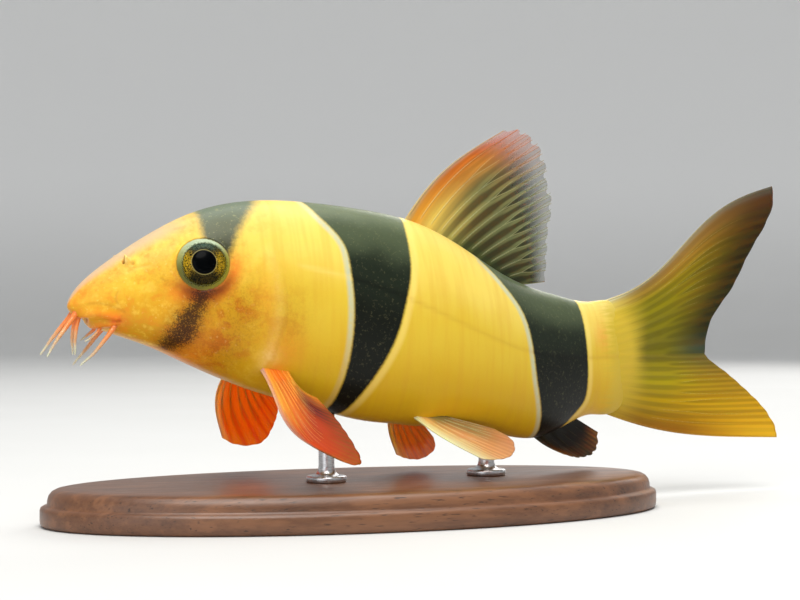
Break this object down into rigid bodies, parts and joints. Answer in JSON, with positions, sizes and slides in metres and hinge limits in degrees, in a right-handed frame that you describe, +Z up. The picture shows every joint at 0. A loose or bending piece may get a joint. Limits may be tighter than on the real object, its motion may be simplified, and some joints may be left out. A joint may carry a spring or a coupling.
{
  "type": "clown loach",
  "caption": "Life-size model of a young clown loach, banded black on golden yellow, with spread fins and barbels, on a flat oval stand.",
  "frame": {"origin": "middle of the base's underside", "axes": "+Z up, the snout towards -X, the fish's left flank towards -Y and its right towards +Y"},
  "size_m": [0.1209, 0.044, 0.0549],
  "materials": {
    "body_skin": "smooth wet skin, golden yellow with three near-black bands",
    "eye": "glossy, black pupil in a dark gold and green iris",
    "barbel": "smooth wet skin, orange-pink fading to pale tips",
    "fin_dorsal": "ribbed translucent membrane, black with olive rays and an orange front edge",
    "fin_caudal": "ribbed translucent membrane, amber with orange edges",
    "fin_anal": "ribbed membrane, black with a yellow-brown margin",
    "fin_paired": "ribbed translucent membrane, orange-red",
    "stand_wood": "dark walnut, satin varnish",
    "stand_metal": "brushed"
  },
  "bodies": {
    "root": {"anal_fin": "fin_anal", "barbel_mandibular_left": "barbel", "barbel_mandibular_right": "barbel", "barbel_maxillary_left": "barbel", "barbel_maxillary_right": "barbel", "barbel_rostral_inner_left": "barbel", "barbel_rostral_inner_right": "barbel", "barbel_rostral_outer_left": "barbel", "barbel_rostral_outer_right": "barbel", "caudal_fin_lower": "fin_caudal", "caudal_fin_upper": "fin_caudal", "dorsal_fin": "fin_dorsal", "eye_left": "eye", "eye_right": "eye", "gill_cover_left": "body_skin", "gill_cover_right": "body_skin", "head": "body_skin", "pectoral_fin_left": "fin_paired", "pectoral_fin_right": "fin_paired", "pelvic_fin_left": "fin_paired", "pelvic_fin_right": "fin_paired", "stand_base": "stand_wood", "stand_rod_front": "stand_metal", "stand_rod_rear": "stand_metal", "tail": "body_skin", "trunk": "body_skin"}
  },
  "joints": []
}
